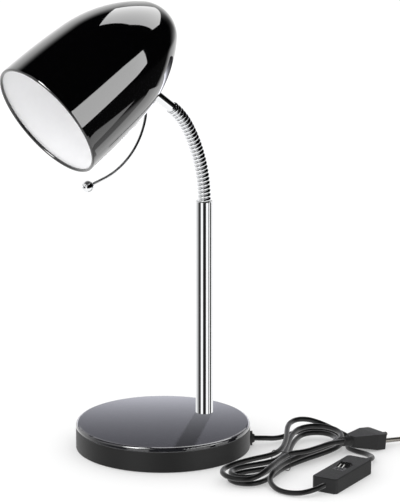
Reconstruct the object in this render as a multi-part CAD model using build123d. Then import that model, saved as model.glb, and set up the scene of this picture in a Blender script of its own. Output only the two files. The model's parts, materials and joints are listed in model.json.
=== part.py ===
from build123d import *
import os
from math import asin, atan2, cos, degrees, hypot, pi, radians, sin, sqrt, tan

# Desk lamp with a flexible neck. Millimetres, +Z up, origin at the centre of the base on the table.
# The head points to -Y, the pole stands at +Y, and X = 0 is the lamp's plane of symmetry.

# Clearances
slip = 0.3            # loose pieces on one body
seat = 0.05           # fitted pieces and running fits
table = 0.0           # height of the surface that the lamp stands on

# Base
base_diameter = 150.0
housing_height = 18.2
housing_wall = 2.5
housing_floor = 2.4
foot_proud = 0.6
foot_diameter = 12.0
foot_thickness = 2.0
foot_circle_diameter = 122.0
foot_count = 4
cover_groove = 0.8
cover_top = 22.4
cover_sheet = 1.0
cover_edge_radius = 2.3
cover_lip_depth = 4.0
ballast_thickness = 8.5
ballast_margin = 2.5
ballast_boss_radius = 16.0
channel_width = 26.0
base_screw_diameter = 4.0
base_screw_length = 9.0
base_screw_head_diameter = 7.6
base_screw_head_height = 1.4
base_screw_sink = 0.2
base_screw_circle_diameter = 100.0
base_screw_count = 3
base_screw_start = 150.0

# Pole
pole_diameter = 15.0
pole_wall = 1.0
pole_from_edge = 30.5
pole_top = 211.0
stud_diameter = 10.0
stud_bore = 6.0
stud_insert_length = 20.0
stud_below_nut = 1.0
pole_nut_flats = 17.0
pole_nut_height = 4.5
pole_washer_diameter = 21.0
pole_washer_thickness = 1.2
stud_pocket_radius = 12.5
stud_pocket_top = 13.0
neck_bush_length = 15.0
neck_bush_drop = 0.6

# Neck
neck_diameter = 11.4
neck_rib_height = 1.1
neck_bore = 6.8
neck_lower_radius = 136.0
neck_lower_turn = 30.0
neck_upper_radius = 64.0
neck_upper_turn = 21.6
neck_segments = 9
ribs_per_segment = 3
neck_rib_shoulder = 0.7
neck_groove = 1.2
neck_ball_radius = 4.4
neck_ball_depth = 1.5
neck_socket_lip = 0.8
sleeve_diameter = 8.8
sleeve_length = 30.2
sleeve_bore = 5.2
sleeve_thread_diameter = 7.8
sleeve_thread_length = 12.4

# Shade
shade_rim_radius = 54.0
shade_length = 142.0
shade_flank_radius = 628.0
shade_shoulder_radius = 126.0
shade_nose_radius = 30.0
shade_sheet = 0.7
shade_bead_radius = 1.4
wall_hole_reach = 4.0     # either side of the sheet, for the two holes
neck_from_nose = 46.6

# Lampholder and its bracket
saddle_radius = 8.0
saddle_thickness = 3.6
bracket_thickness = 1.5
bracket_width = 14.0
bracket_reach = 19.2
bracket_tail = 9.0
neck_washer_thickness = 1.0
neck_nut_flats = 13.0
neck_nut_height = 4.0
holder_radius = 19.5
holder_cap_length = 16.0
holder_cap_neck_radius = 11.0
holder_cap_taper = 10.0
holder_body_length = 38.0
holder_wall = 2.2
thread_shell_radius = 13.9
thread_shell_sheet = 0.5
thread_shell_length = 22.0
thread_shell_recess = 5.0
holder_core_thickness = 9.0
contact_radius = 4.0
contact_height = 1.8
nipple_diameter = 10.0
nipple_bore = 7.0
nipple_length = 13.0
nipple_nut_flats = 14.0
nipple_nut_height = 3.0
lead_diameter = 1.8
lead_spacing = 2.4
lead_entry_from_nose = 35.0
lead_entry_radius = 15.0

# Handle under the shade
handle_from_nose = 60.0
handle_wire_diameter = 2.5
handle_root_length = 9.0
handle_root_turn = 58.0
handle_root_bend_radius = 12.0
handle_leg_length = 44.4
handle_turn = 61.8
handle_bend_radius = 60.0
handle_tip_length = 52.9
handle_thread_length = 6.0
handle_ball_diameter = 10.0
handle_ball_bore_depth = 4.0
handle_nut_flats = 5.5
handle_nut_height = 2.4

# Mains cord, its grommet and the clamp in the base
cord_diameter = 4.4
cord_exit_angle = 53.0
cord_exit_height = 7.0
grommet_flange_diameter = 12.6
grommet_flange_thickness = 2.0
grommet_neck_diameter = 9.0
grommet_nose_diameter = 8.4
grommet_nose_length = 2.0
cord_inlet = 8.5
clamp_length = 5.0
clamp_width = 18.0
clamp_wall = 2.0
clamp_share = 0.794       # of the way along the channel, from the pole
clamp_screw_diameter = 3.0
clamp_screw_spacing = 12.0
terminal_size = (10.0, 14.0, 9.0)
terminal_share = 0.537

# Hank of the cord: two lobes drawn in at a tie, the last loop wound back on top
hank_tie = (111.0, 41.2)
hank_heading = 108.6
hank_bend = 20.0
hank_bend_length = 24.0
hank_right = 92.0
hank_right_half = 22.5
hank_left = 61.0
hank_left_half = 18.0
hank_waist = 7.2
hank_lobe_lift = 3.0
hank_lobe_shift = 3.0
hank_lobe_rise = 2.5
hank_start_turn = 0.06
hank_end_turn = 2.44
hank_climb = 0.5
hank_step = 5.6
hank_floor_height = 3.0
hank_layer = 5.0
return_start_turn = 0.13
return_end_turn = -0.611
return_climb = 0.10
return_shift = 0.12
return_start_inset = -5.2
return_inset = 1.6
return_start_height = 3.0
return_drop_turn = -0.22
return_rise_turn = -0.54
return_drop = 4.4
return_spread = 4.4
nodes_per_turn = 20
end_run = 9.0
tie_wire_diameter = 0.7
tie_width = 18.4
tie_height = 15.5
tie_shift = 0.8
tie_corner = 2.8

# Switch on the cord
switch_place = (168.2, 62.1)
switch_heading = 112.9
switch_length = 65.0
switch_width = 23.5
switch_height = 13.0
switch_split = 6.4
switch_wall = 1.8
switch_corner = 3.5
switch_edge = 1.0
rocker_length = 18.4
rocker_width = 10.4
rocker_pivot_height = 9.4
rocker_throw = 18.0
rocker_floor = 7.4
rocker_pin_radius = 1.2
rocker_pin_length = 1.6
rocker_rib_height = 0.5
rocker_rib_width = 0.8
rocker_rib_stations = (-5.4, -2.8)
bearing_length = 5.0
bearing_width = 2.4
contact_strip = (9.0, 3.0, 0.8)
contact_strip_station = 16.0
switch_screw_diameter = 2.6
switch_screw_head = 4.6
switch_screw_head_height = 1.6
switch_screw_station = (25.0, 7.0)
switch_boss_radius = 2.8
cord_in_switch = 4.0

# Two-pin plug
plug_face = (110.5, 148.5)
plug_heading = 92.0
plug_pitch = 7.0
plug_length = 32.0
plug_face_width = 25.0
plug_shoulder = 11.0
plug_tail_width = 11.0
plug_thickness = 13.6
plug_tail_thickness = 9.5
plug_corner = 2.5
pin_diameter = 4.0
pin_length = 19.0
pin_spacing = 18.6
pin_root = 8.0
relief_length = 8.0
relief_root_radius = 4.8
relief_tip_radius = 4.0
relief_ribs = 3
cord_in_relief = 3.0

# Free stretches of the cord, by hand, between the pieces that hold its ends
lead_route = [(53.6, 80.6, 4.8), (53.2, 91.4, 4.4)]
front_route = [(138.6, 8.2, 4.8), (148.4, 3.6, 3.2), (159.4, 1.8, 2.4), (170.2, 4.6, 2.5),
               (179.4, 11.4, 3.6)]
rear_route = [(147.0, 112.6, 5.0), (138.4, 119.0, 3.2), (127.2, 121.4, 2.4), (115.4, 118.6, 2.3),
              (103.4, 119.6, 2.3), (98.0, 128.2, 3.8)]
plug_route = [(118.4, 62.0, 13.4), (117.0, 78.8, 13.8), (114.2, 93.4, 13.8)]

bottom = (Align.CENTER, Align.CENTER, Align.MIN)
base_radius = base_diameter / 2
pole_offset = base_radius - pole_from_edge
cord_radius = cord_diameter / 2
floor_top = foot_proud + housing_floor
housing_bore = base_radius - housing_wall
ballast_top = floor_top + ballast_thickness
cover_underside = cover_top - cover_sheet
pole_radius = pole_diameter / 2
pole_bore = pole_radius - pole_wall
nut_top = stud_pocket_top - pole_washer_thickness
nut_bottom = nut_top - pole_nut_height
stud_end = nut_bottom - stud_below_nut
neck_lower_length = neck_lower_radius * radians(neck_lower_turn)
neck_length = neck_lower_length + neck_upper_radius * radians(neck_upper_turn)
neck_station = shade_length - neck_from_nose
handle_station = shade_length - handle_from_nose
lead_entry_station = shade_length - lead_entry_from_nose
parts = {}


def polar(radius, angle):
    return radius * cos(radians(angle)), radius * sin(radians(angle))


def rod(radius, low, high):
    return Pos(0, 0, low) * Cylinder(radius, high - low, align=bottom)


def tube(radius, bore, low, high):
    return rod(radius, low, high) - rod(bore, low, high)


def hexagon(flats, low, high):
    outline = RegularPolygon(flats / 2, 6, major_radius=False)
    return Pos(0, 0, low) * extrude(outline, high - low)


def lathe(outline):
    return revolve(Plane.XZ * make_face(outline), Axis.Z)


def slab(size_x, size_y, low, high):
    return Pos(0, 0, low) * Box(size_x, size_y, high - low, align=bottom)


# Base housing, feet and screws
def make_housing():
    body = rod(base_radius, foot_proud, housing_height) - rod(housing_bore, floor_top, housing_height)
    for place in foot_places():
        body -= place * rod(foot_diameter / 2 + seat, table, foot_thickness)
    for place in base_screw_places():
        body -= place * rod(base_screw_diameter / 2 + slip, table, floor_top)
        body -= place * rod(base_screw_head_diameter / 2 + slip, table, screw_seat)
    return body - grommet_place() * rod(grommet_neck_diameter / 2 + seat, -housing_wall - 2.0, 2.0)


def foot_places():
    # A ring of pads, and one in the middle that keeps the floor from sagging
    step = 360.0 / foot_count
    ring = [Pos(*polar(foot_circle_diameter / 2, step * (k + 0.5))) for k in range(foot_count)]
    return [Pos(0, 0), *ring]


def make_foot():
    return rod(foot_diameter / 2, table, foot_thickness)


def base_screw_places():
    step = 360.0 / base_screw_count
    radius = base_screw_circle_diameter / 2
    return [Pos(*polar(radius, base_screw_start + step * k)) for k in range(base_screw_count)]


def base_screw():
    head = rod(base_screw_head_diameter / 2, screw_seat - base_screw_head_height, screw_seat)
    return head + rod(base_screw_diameter / 2, screw_seat, screw_seat + base_screw_length)


# Ballast: a cast disc with a boss under the pole and a channel for the wiring
def channel_line():
    x, y = polar(base_radius - cord_inlet, cord_exit_angle)
    return degrees(atan2(y - pole_offset, x)), hypot(x, y - pole_offset)


def in_channel(share, beyond=0.0):
    # Place on the channel floor, its x axis towards the grommet, a share of the way from the pole
    heading, length = channel_line()
    return Pos(0, pole_offset, floor_top) * Rot(0, 0, heading) * Pos(share * length + beyond, 0, 0)


def make_ballast():
    body = rod(housing_bore - ballast_margin, floor_top, ballast_top)
    body += Pos(0, pole_offset) * rod(ballast_boss_radius, floor_top, cover_underside)
    _, reach = channel_line()
    slot = Pos(reach, 0, 0) * Box(2 * reach, channel_width, ballast_thickness * 2)
    body -= in_channel(0.0) * slot & rod(base_radius, floor_top, ballast_top)
    body -= Pos(0, pole_offset) * rod(stud_pocket_radius, floor_top, stud_pocket_top)
    body -= Pos(0, pole_offset) * rod(stud_diameter / 2 + slip, floor_top, cover_underside)
    for place in base_screw_places():
        body -= place * rod(base_screw_diameter / 2 + seat, floor_top, screw_seat + base_screw_length + 1.0)
    return body


# Gloss cover with a rolled edge and an inner lip
def make_cover():
    skirt_bottom = housing_height + cover_groove
    lip_outer = housing_bore - slip
    lip_inner = lip_outer - cover_sheet
    lip_bottom = housing_height - cover_lip_depth
    inner = base_radius - cover_sheet
    shell = rod(base_radius, skirt_bottom, cover_top)
    shell = fillet(shell.edges().sort_by(Axis.Z)[-1], cover_edge_radius)
    hollow = rod(inner, skirt_bottom + cover_sheet, cover_underside)
    hollow = fillet(hollow.edges().sort_by(Axis.Z)[-1], cover_edge_radius - cover_sheet)
    shell = shell - hollow - rod(lip_inner, skirt_bottom, skirt_bottom + cover_sheet)
    shell += tube(lip_outer, lip_inner, lip_bottom, skirt_bottom + cover_sheet)
    return shell - Pos(0, pole_offset) * rod(stud_diameter / 2 + slip, cover_underside, cover_top)


# Pole, its threaded insert, washer and nut
def make_pole():
    return Pos(0, pole_offset) * tube(pole_radius, pole_bore, cover_top, pole_top)


def make_stud():
    body = rod(pole_bore - seat, cover_top, cover_top + stud_insert_length)
    body += rod(stud_diameter / 2, stud_end, cover_top)
    body -= rod(stud_bore / 2, stud_end, cover_top + stud_insert_length)
    return Pos(0, pole_offset) * body


def make_pole_washer():
    ring = tube(pole_washer_diameter / 2, stud_diameter / 2 + seat, nut_top, stud_pocket_top)
    return Pos(0, pole_offset) * ring


def make_pole_nut():
    ring = hexagon(pole_nut_flats, nut_bottom, nut_top) - rod(stud_diameter / 2 + seat, nut_bottom, nut_top)
    return Pos(0, pole_offset) * ring


def make_neck_bush():
    low, high = pole_top - neck_bush_length, pole_top - neck_bush_drop
    body = Pos(0, pole_offset) * tube(pole_bore - seat, neck_bore / 2, low, high)
    return body - neck_socket(0)


# Flexible neck along two tangent arcs: ribbed links, each with a ball below and a socket for the next above
def neck_place(s):
    if s <= 0:
        return Plane(origin=(0, pole_offset, pole_top + s), x_dir=(1, 0, 0), z_dir=(0, 0, 1))
    lean = min(s, neck_lower_length) / neck_lower_radius
    y = pole_offset - neck_lower_radius * (1 - cos(lean))
    z = pole_top + neck_lower_radius * sin(lean)
    if s > neck_lower_length:
        start = lean
        lean = start + (s - neck_lower_length) / neck_upper_radius
        y -= neck_upper_radius * (cos(start) - cos(lean))
        z += neck_upper_radius * (sin(lean) - sin(start))
    return Plane(origin=(0, y, z), x_dir=(1, 0, 0), z_dir=(0, -sin(lean), cos(lean)))


def neck_joint(index):
    return neck_place(index * neck_length / neck_segments)


def neck_ball(high):
    size = 4 * neck_ball_radius
    return Sphere(neck_ball_radius) & slab(size, size, -neck_ball_depth, high)


def neck_socket(index):
    return neck_joint(index) * Sphere(neck_ball_radius + seat)


def make_neck_segment(index):
    span = neck_length / neck_segments
    pitch = span / ribs_per_segment
    land = pitch - neck_groove
    crest = neck_diameter / 2
    shoulder, root = crest - neck_rib_shoulder, crest - neck_rib_height
    first = index * span + neck_socket_lip + neck_groove
    stations = []
    for rib in range(ribs_per_segment):
        start = first + rib * pitch
        stations += [(start, shoulder), (start + 0.25 * land, crest), (start + 0.75 * land, crest),
                     (start + land, shoulder), (start + land + neck_groove / 2, root)]
    body = loft([neck_place(s) * Circle(radius) for s, radius in stations[:-1]], ruled=True)
    body += neck_joint(index) * neck_ball(neck_socket_lip + 1.5 * neck_groove)
    body -= neck_socket(index + 1)
    low, high = index * span - 2 * neck_ball_depth, (index + 1) * span + 2 * neck_socket_lip
    bore = [low + (high - low) * k / 4 for k in range(5)]
    return body - loft([neck_place(s) * Circle(neck_bore / 2) for s in bore], ruled=True)


# Shade: three tangent arcs turned about its axis, in its own frame with z from the rim to the nose
def shade_arcs():
    flank = (shade_rim_radius - shade_flank_radius, 0.0)
    nose = (0.0, shade_length - shade_nose_radius)
    near = shade_flank_radius - shade_shoulder_radius
    far = shade_shoulder_radius - shade_nose_radius
    gap = hypot(nose[0] - flank[0], nose[1] - flank[1])
    ahead = ((nose[0] - flank[0]) / gap, (nose[1] - flank[1]) / gap)
    along = (near ** 2 - far ** 2 + gap ** 2) / (2 * gap)
    aside = sqrt(near ** 2 - along ** 2)
    shoulder = (flank[0] + along * ahead[0] + aside * ahead[1],
                flank[1] + along * ahead[1] - aside * ahead[0])
    return flank, shoulder, nose


def shade_wall(station, inset=0.0):
    # Radius of the wall and the lean of its normal towards the nose, on the flank or the shoulder
    flank, shoulder, _ = shade_arcs()
    joint_lean = atan2(shoulder[1] - flank[1], shoulder[0] - flank[0])
    on_flank = station <= flank[1] + shade_flank_radius * sin(joint_lean)
    centre, radius = (flank, shade_flank_radius) if on_flank else (shoulder, shade_shoulder_radius)
    lean = asin((station - centre[1]) / radius)
    return centre[0] + radius * cos(lean) - inset * cos(lean), lean


def shade_curve(inset):
    # The wall's three arcs from the rim to the nose, with its two ends
    flank, shoulder, nose = shade_arcs()
    joint = atan2(shoulder[1] - flank[1], shoulder[0] - flank[0])
    cap = atan2(nose[1] - shoulder[1], nose[0] - shoulder[0])

    def on(centre, radius, lean):
        return centre[0] + (radius - inset) * cos(lean), centre[1] + (radius - inset) * sin(lean)

    rim = on(flank, shade_flank_radius, 0.0)
    flank_end = on(shoulder, shade_shoulder_radius, joint)
    shoulder_end = on(nose, shade_nose_radius, cap)
    tip = (0.0, shade_length - inset)
    arcs = [ThreePointArc(rim, on(flank, shade_flank_radius, joint / 2), flank_end),
            ThreePointArc(flank_end, on(shoulder, shade_shoulder_radius, (joint + cap) / 2), shoulder_end),
            ThreePointArc(shoulder_end, on(nose, shade_nose_radius, (cap + pi / 2) / 2), tip)]
    return rim, arcs, tip


def shade_block(inset):
    rim, arcs, tip = shade_curve(inset)
    return lathe([Line((0, 0), rim), *arcs, Line(tip, (0, 0))])


def head_planes():
    # Sleeve plane at the neck's end, and the shade's plane hung square on the sleeve's far end
    sleeve = neck_place(neck_length)
    radius, lean = shade_wall(neck_station)
    tilt = radians(neck_lower_turn + neck_upper_turn) - lean
    axis = Vector(0, cos(tilt), sin(tilt))
    below = Vector(0, sin(tilt), -cos(tilt))
    wall = sleeve.origin + sleeve.z_dir * sleeve_length
    return sleeve, Plane(origin=wall - below * radius - axis * neck_station, x_dir=(1, 0, 0), z_dir=axis)


def wall_place(station):
    # Plane on the outside of the wall's underside, z pointing into the shade
    radius, lean = shade_wall(station)
    _, shade = head_planes()
    origin = shade.from_local_coords((0, radius, station))
    inward = -(shade.y_dir * cos(lean) + shade.z_dir * sin(lean))
    return Plane(origin=origin, x_dir=(1, 0, 0), z_dir=inward)


def make_shade():
    _, plane = head_planes()
    rim, arcs, tip = shade_curve(0.0)
    inner_rim, inner_arcs, inner_tip = shade_curve(shade_sheet)
    shell = lathe([*arcs, Line(tip, inner_tip), *inner_arcs, Line(inner_rim, rim)])
    shell += Torus(shade_rim_radius - shade_bead_radius, shade_bead_radius)
    shell = plane * shell
    for station, diameter in ((neck_station, sleeve_thread_diameter), (handle_station, handle_wire_diameter)):
        shell -= wall_place(station) * rod(diameter / 2 + slip, -wall_hole_reach, wall_hole_reach)
    return shell


def make_sleeve():
    sleeve, _ = head_planes()
    end = sleeve_length + sleeve_thread_length
    waist = neck_socket_lip + neck_groove
    waist_radius = sqrt(neck_ball_radius ** 2 - waist ** 2)
    shoulder = waist + sleeve_diameter / 2 - waist_radius
    body = rod(sleeve_diameter / 2, shoulder, sleeve_length)
    body += Pos(0, 0, (waist + shoulder) / 2) * Cone(waist_radius, sleeve_diameter / 2, shoulder - waist)
    body += neck_ball(waist)
    body += rod(sleeve_thread_diameter / 2, sleeve_length, end)
    return sleeve * (body - rod(sleeve_bore / 2, -2 * neck_ball_depth, end))


# Stack on the sleeve's thread inside the shade: saddle, bracket, washer, nut
def make_saddle():
    _, plane = head_planes()
    body = tube(saddle_radius, sleeve_thread_diameter / 2 + slip, 0.0, saddle_top)
    return wall_place(neck_station) * body & plane * shade_block(shade_sheet + seat)


def make_bracket():
    _, plane = head_planes()
    wall = wall_place(neck_station)
    foot = wall.origin + wall.z_dir * saddle_top
    local = plane.to_local_coords(foot)
    _, lean = shade_wall(neck_station)
    along = (-sin(lean), cos(lean))
    inward = (-cos(lean), -sin(lean))
    rear = bracket_rear

    def on(distance, depth):
        return (local.Y + along[0] * distance + inward[0] * depth,
                local.Z + along[1] * distance + inward[1] * depth)

    def meet(depth, station):
        start = on(0.0, depth)
        return start[0] + along[0] / along[1] * (station - start[1]), station

    leg_end = -holder_cap_neck_radius
    outline = [on(-bracket_tail, 0.0), meet(0.0, rear), (leg_end, rear), (leg_end, rear - bracket_thickness),
               meet(bracket_thickness, rear - bracket_thickness), on(-bracket_tail, bracket_thickness)]
    sheet = extrude(Plane.YZ * make_face(Polyline(*outline, close=True)), bracket_width / 2, both=True)
    body = plane * sheet
    body -= wall * rod(sleeve_thread_diameter / 2 + seat, 0.0, saddle_top + 2 * bracket_thickness)
    nipple_hole = rod(nipple_diameter / 2 + seat, rear - 2 * bracket_thickness, rear + bracket_thickness)
    return body - plane * nipple_hole


def make_neck_washer():
    low = saddle_top + bracket_thickness
    body = tube(neck_nut_flats / 2, sleeve_thread_diameter / 2 + seat, low, low + neck_washer_thickness)
    return wall_place(neck_station) * body


def make_neck_nut():
    low = saddle_top + bracket_thickness + neck_washer_thickness
    body = hexagon(neck_nut_flats, low, low + neck_nut_height)
    body -= rod(sleeve_thread_diameter / 2 + seat, low, low + neck_nut_height)
    return wall_place(neck_station) * body


# Lampholder, in the shade's frame, opening towards the rim
def make_holder_cap():
    _, plane = head_planes()
    low = holder_back - holder_cap_length
    taper = holder_back - holder_cap_taper
    outside = Polyline((0, low), (holder_radius, low), (holder_radius, taper),
                       (holder_cap_neck_radius, holder_back), (0, holder_back), close=True)
    bore = holder_radius - holder_wall
    inside = Polyline((0, low), (bore, low), (bore, taper - holder_wall / 2),
                      (holder_cap_neck_radius - holder_wall / 2, holder_back - holder_wall),
                      (0, holder_back - holder_wall), close=True)
    body = lathe(outside) - lathe(inside)
    body -= rod(nipple_diameter / 2 + seat, holder_back - holder_wall, holder_back)
    body = plane * body
    for path in holder_lead_paths():
        body -= sweep(Plane(path @ 0, z_dir=path % 0) * Circle(lead_diameter / 2 + seat), path=path)
    return body


def make_holder_body():
    _, plane = head_planes()
    high = holder_back - holder_cap_length
    low = high - holder_body_length
    body = tube(holder_radius, thread_shell_radius + seat, low, high)
    return plane * fillet(body.edges().group_by(Axis.Z)[0], 1.0)


def make_thread_shell():
    _, plane = head_planes()
    low = holder_back - holder_cap_length - holder_body_length + thread_shell_recess
    bore = thread_shell_radius - thread_shell_sheet
    return plane * tube(thread_shell_radius, bore, low, low + thread_shell_length)


def make_holder_core():
    _, plane = head_planes()
    return plane * tube(thread_shell_radius, contact_radius / 2, core_low, core_low + holder_core_thickness)


def make_holder_contact():
    _, plane = head_planes()
    body = rod(contact_radius, core_low - contact_height, core_low)
    body = fillet(body.edges().group_by(Axis.Z)[0], contact_height / 3)
    return plane * (body + rod(contact_radius / 2 - seat, core_low, core_low + holder_core_thickness))


def make_nipple():
    _, plane = head_planes()
    high = holder_back + bracket_thickness + nipple_nut_height + 1.0
    return plane * tube(nipple_diameter / 2, nipple_bore / 2, high - nipple_length, high)


def make_nipple_nut():
    _, plane = head_planes()
    low = holder_back + bracket_thickness
    body = hexagon(nipple_nut_flats, low, low + nipple_nut_height)
    return plane * (body - rod(nipple_diameter / 2 + seat, low, low + nipple_nut_height))


# Two thin wires from the sleeve's mouth into the side of the lampholder's cap
def holder_lead_paths():
    _, plane = head_planes()
    wall = wall_place(neck_station)
    start = wall.origin + wall.z_dir * (sleeve_thread_length - 4.0)
    corner = wall.origin + wall.z_dir * (sleeve_thread_length + 4.0)
    entry = plane.from_local_coords((0, lead_entry_radius, lead_entry_station))
    paths = []
    for side in (-0.5, 0.5):
        shift = Vector(side * lead_spacing, 0, 0)
        paths.append(FilletPolyline(start + shift, corner + shift, entry + shift, radius=3 * lead_diameter))
    return paths


def make_holder_leads():
    return Compound([cord_tube(path, lead_diameter) for path in holder_lead_paths()])


# Wiring in the base: two thin wires from the terminal block, under the stud and up the pole
def make_pole_leads():
    level = floor_top + lead_diameter / 2 + seat
    pole_foot = Vector(0, pole_offset, level)
    heading, length = channel_line()
    ahead = Vector(*polar(1.0, heading), 0)
    across = Vector(-ahead.Y, ahead.X, 0)
    wires = []
    for side in (-0.5, 0.5):
        shift = across * (side * lead_spacing)
        start = pole_foot + shift + ahead * (terminal_share * length - terminal_size[0] / 2)
        top = Vector(0, pole_offset, pole_top - neck_bush_length) + shift
        path = FilletPolyline(start, pole_foot + shift, top, radius=1.5 * lead_diameter)
        wires.append(cord_tube(path, lead_diameter))
    return Compound(wires)


def make_terminal_block():
    body = slab(terminal_size[0], terminal_size[1], seat, terminal_size[2])
    for side in (-1, 1):
        screw = Pos(0, side * terminal_size[1] / 4) * rod(1.6, terminal_size[2] - 2.0, terminal_size[2])
        body -= screw
    return in_channel(terminal_share) * fillet(body.edges().filter_by(Axis.Z), 1.0)


# Grommet in the band, and the clamp that grips the cord behind it
def grommet_place():
    x, y = polar(base_radius, cord_exit_angle)
    outward = Vector(*polar(1.0, cord_exit_angle), 0)
    return Plane(origin=(x, y, cord_exit_height), x_dir=(-outward.Y, outward.X, 0), z_dir=outward)


def make_grommet():
    bulge = base_radius - sqrt(base_radius ** 2 - (grommet_flange_diameter / 2) ** 2)
    flange = rod(grommet_flange_diameter / 2, -bulge, grommet_flange_thickness)
    flange -= grommet_place().location.inverse() * rod(base_radius + seat, table, cover_top)
    neck = rod(grommet_neck_diameter / 2, -housing_wall - 1.0, 0.0)
    nose = Pos(0, 0, grommet_flange_thickness + grommet_nose_length / 2) * Cone(
        grommet_nose_diameter / 2, cord_radius + 0.9, grommet_nose_length)
    hole = rod(cord_radius + seat, -housing_wall - 2.0, grommet_flange_thickness + grommet_nose_length + 1.0)
    return grommet_place() * (flange + neck + nose - hole)


def cord_tail_route():
    place = grommet_place()
    outlet = place.origin + place.z_dir * (grommet_flange_thickness + grommet_nose_length)
    inlet = place.origin - place.z_dir * cord_inlet
    end = (in_channel(terminal_share, terminal_size[0] / 2 + slip) * Pos(0, 0, clamp_floor)).position
    return [outlet, inlet, end]


def make_clamp():
    body = slab(clamp_length, clamp_width, clamp_floor, clamp_floor + cord_radius + clamp_wall)
    groove = Pos(0, 0, clamp_floor) * Rot(0, 90, 0) * Cylinder(cord_radius + seat, clamp_length * 2)
    body -= groove
    for side in (-1, 1):
        leg = Pos(0, side * clamp_screw_spacing / 2)
        body += leg * slab(clamp_length, clamp_width - clamp_screw_spacing, 0.0, clamp_floor)
        body -= leg * rod(clamp_screw_diameter / 2 + seat, 0.0, clamp_floor + cord_radius + clamp_wall)
    return in_channel(clamp_share) * body


def make_clamp_screws():
    top = clamp_floor + cord_radius + clamp_wall
    screw = rod(clamp_screw_diameter, top, top + 1.2)
    screw += rod(clamp_screw_diameter / 2, 0.0, top)
    place = in_channel(clamp_share)
    return Compound([place * Pos(0, side * clamp_screw_spacing / 2) * screw for side in (-1, 1)])


# Handle: a bent wire screwed into the shade's underside, with a ball on its tip
def handle_points():
    # From the threaded end inside the shade, then corners, to the middle of the ball
    _, lean = shade_wall(handle_station)
    wall = wall_place(handle_station)
    _, plane = head_planes()
    heading = degrees(lean)
    point = wall.origin + wall.z_dir * handle_thread_length
    points = [point]
    runs = ((handle_thread_length + handle_root_length, 0), (handle_leg_length, handle_root_turn),
            (handle_tip_length, handle_turn))
    for length, turn in runs:
        heading -= turn
        across, along = polar(length, heading)
        point = point + plane.y_dir * across + plane.z_dir * along
        points.append(point)
    return points


def make_handle_wire():
    points = handle_points()
    tip = (points[3] - points[2]).normalized()
    points[3] = points[3] - tip * (handle_ball_diameter / 2 - handle_ball_bore_depth)
    path = FilletPolyline(*points, radius=[handle_root_bend_radius, handle_bend_radius])
    return cord_tube(path, handle_wire_diameter)


def make_handle_ball():
    points = handle_points()
    tip = Plane(origin=points[3], z_dir=points[2] - points[3])
    ball = Sphere(handle_ball_diameter / 2)
    floor = handle_ball_diameter / 2 - handle_ball_bore_depth
    return tip * (ball - rod(handle_wire_diameter / 2 + seat, floor, handle_ball_diameter))


def make_handle_nut():
    low = shade_sheet + slip
    body = hexagon(handle_nut_flats, low, low + handle_nut_height)
    body -= rod(handle_wire_diameter / 2 + seat, low, low + handle_nut_height)
    return wall_place(handle_station) * body


# Cord tubes
def route_radii(points):
    # Each corner's arc is as large as its two runs allow
    radii = []
    for before, corner, after in zip(points, points[1:], points[2:]):
        turn = (corner - before).get_angle(after - corner)
        shorter = min((corner - before).length, (after - corner).length)
        radii.append(0.45 * shorter / tan(radians(turn) / 2))
    return radii


def cord_tube(path, diameter):
    return sweep(Plane(path @ 0, z_dir=path % 0) * Circle(diameter / 2), path=path)


def free_cord(name, points):
    points = [Vector(*p) if isinstance(p, tuple) else p for p in points]
    radii = route_radii(points)
    path = FilletPolyline(*points, radius=radii)
    body = cord_tube(path, cord_diameter)
    share = body.volume / (pi * cord_radius ** 2 * path.length)
    print(f"{name}: length {path.length:.0f}, radii {[round(r, 1) for r in radii]}, volume share {share:.4f}")
    return body


def hank_outline(turn, inset):
    # Along and across one loop: round ends, and flanks drawn in towards the tie
    ahead, behind = hank_right - hank_right_half, hank_left - hank_left_half
    share = turn % 1.0

    def flank(along):
        reach, half = (ahead, hank_right_half) if along > 0 else (behind, hank_left_half)
        return hank_waist + (half - hank_waist) * (1 - cos(pi * along / reach)) / 2 - inset

    if share < 0.2:
        angle = pi * (share / 0.2 - 0.5)
        radius = hank_right_half - inset
        return ahead + radius * cos(angle), radius * sin(angle)
    if share < 0.5:
        along = ahead - (ahead + behind) * (share - 0.2) / 0.3
        return along, flank(along)
    if share < 0.7:
        angle = pi * ((share - 0.5) / 0.2 - 0.5)
        radius = hank_left_half - inset
        return -behind - radius * cos(angle), -radius * sin(angle)
    along = (ahead + behind) * (share - 0.7) / 0.3 - behind
    return along, -flank(along)


def hank_point(turn, inset, height):
    # The middle line bends at the tie; the larger lobe leans aside and its far flank is raised
    along, across = hank_outline(turn, inset)
    spread = smooth_step(along / (hank_right - hank_right_half))
    lift = hank_lobe_lift * max(0.0, along / hank_right) ** 2
    lift += hank_lobe_rise * spread * (0.5 - across / (2 * hank_right_half))
    across += hank_lobe_shift * spread
    bend = radians(hank_bend) / 2
    held = min(max(along, -hank_bend_length), hank_bend_length)
    angle = bend * held / hank_bend_length
    radius = hank_bend_length / bend
    x = radius * sin(angle) + (along - held) * cos(angle) + across * sin(angle)
    y = radius * (1 - cos(angle)) + (along - held) * sin(angle) - across * cos(angle)
    ex, ey = polar(1.0, hank_heading)
    return Vector(hank_tie[0] + x * ex - y * ey, hank_tie[1] + x * ey + y * ex, height + lift)


def smooth_step(value):
    value = min(max(value, 0.0), 1.0)
    return value * value * (3 - 2 * value)


def hank_path_point(turn):
    # Spirals in on the lower layer, climbs about the middle, and spirals out on the upper one
    middle = (hank_start_turn + hank_end_turn) / 2
    inset = hank_step * (middle - hank_start_turn - abs(turn - middle))
    height = hank_floor_height + hank_layer * smooth_step((turn - middle) / hank_climb + 0.5)
    return hank_point(turn, inset, height)


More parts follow.
